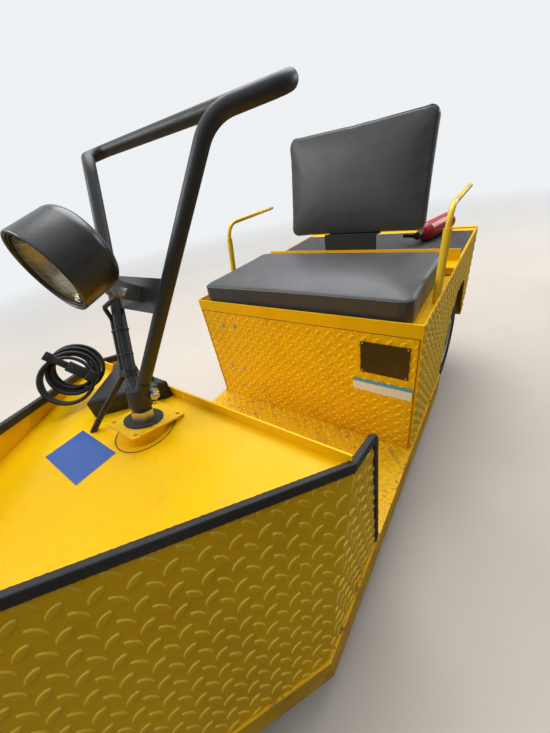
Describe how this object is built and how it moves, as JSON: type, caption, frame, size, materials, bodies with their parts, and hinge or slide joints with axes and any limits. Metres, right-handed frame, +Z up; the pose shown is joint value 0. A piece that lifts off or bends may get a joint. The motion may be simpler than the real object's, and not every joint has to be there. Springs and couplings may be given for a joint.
{
  "type": "electric utility vehicle",
  "caption": "Stand-up-height utility vehicle on three wheels with tiller-bar steering, tread-plate body, bench seat over the batteries and a short load deck behind.",
  "frame": {"origin": "on the ground under the middle of the overall length and width", "axes": "+X forward, +Y to the driver's left, +Z up"},
  "size_m": [2.13, 0.8636, 1.1826],
  "materials": {
    "yellow_frame": "satin enamel, worn",
    "yellow_plate": "satin enamel on tread plate, worn",
    "black_frame": "satin",
    "black_bar": "powder coat, satin",
    "trim_rubber": "matt",
    "lamp_rubber": "satin",
    "lamp_glass": "fluted",
    "zinc": "zinc plated",
    "tyre": "matt, dusty",
    "rim": "satin enamel",
    "mat": "matt",
    "battery_case": "matt",
    "vinyl": "satin vinyl",
    "bottle": "gloss",
    "valve": "satin",
    "console": "satin",
    "cord": "satin"
  },
  "bodies": {
    "chassis": {"perimeter_rail": "yellow_frame", "floor_plate": "yellow_plate", "frame_rails": "black_frame", "apron_left": "yellow_plate", "apron_right": "yellow_plate", "apron_nose": "yellow_plate", "edge_trim": "trim_rubber", "front_deck": "yellow_plate", "bulkhead": "yellow_plate", "steering_head": "yellow_frame", "rear_axle": "black_frame", "drive_motor": "black_frame", "leaf_springs": "black_frame", "seat_box_front": "yellow_plate", "side_panel_left": "yellow_plate", "side_panel_right": "yellow_plate", "rear_panel": "yellow_plate", "rear_deck": "yellow_plate", "deck_mat": "mat", "battery_pack": "battery_case", "backrest": "vinyl", "backrest_bracket": "black_bar", "hip_restraints": "yellow_frame", "extinguisher_bottle": "bottle", "extinguisher_valve": "valve", "dash_console": "console", "charger_coil": "cord", "pedals": "black_bar", "deck_cable": "cord"},
    "steering": {"steering_fork": "black_frame", "stem_nut": "zinc", "handlebar": "black_bar", "lamp_plate": "black_bar", "lamp_bucket": "lamp_rubber", "lamp_lens": "lamp_glass", "lamp_bracket": "zinc", "lamp_harness": "cord"},
    "front_wheel": {"front_tyre": "tyre", "front_rim": "rim"},
    "rear_wheel_left": {"rear_tyre_left": "tyre", "rear_rim_left": "rim"},
    "rear_wheel_right": {"rear_tyre_right": "tyre", "rear_rim_right": "rim"},
    "seat_lid": {"seat_lid": "yellow_frame", "cushion": "vinyl"}
  },
  "joints": [
    {"name": "steering_turn", "type": "hinge", "parent": "chassis", "child": "steering", "pos_m": [0.531, 0, 0.685], "axis": [-0.2588, 0, 0.9659], "range_deg": [-40, 40]},
    {"name": "front_wheel_spin", "type": "hinge", "parent": "steering", "child": "front_wheel", "pos_m": [0.65841, 0, 0.2095], "axis": [0, 1, 0], "continuous": true},
    {"name": "rear_left_spin", "type": "hinge", "parent": "chassis", "child": "rear_wheel_left", "pos_m": [-0.755, 0.357, 0.2095], "axis": [0, 1, 0], "continuous": true},
    {"name": "rear_right_spin", "type": "hinge", "parent": "chassis", "child": "rear_wheel_right", "pos_m": [-0.755, -0.357, 0.2095], "axis": [0, 1, 0], "continuous": true},
    {"name": "seat_lid_hinge", "type": "hinge", "parent": "chassis", "child": "seat_lid", "pos_m": [-0.488, 0, 0.677], "axis": [0, -1, 0], "range_deg": [0, 70]}
  ]
}
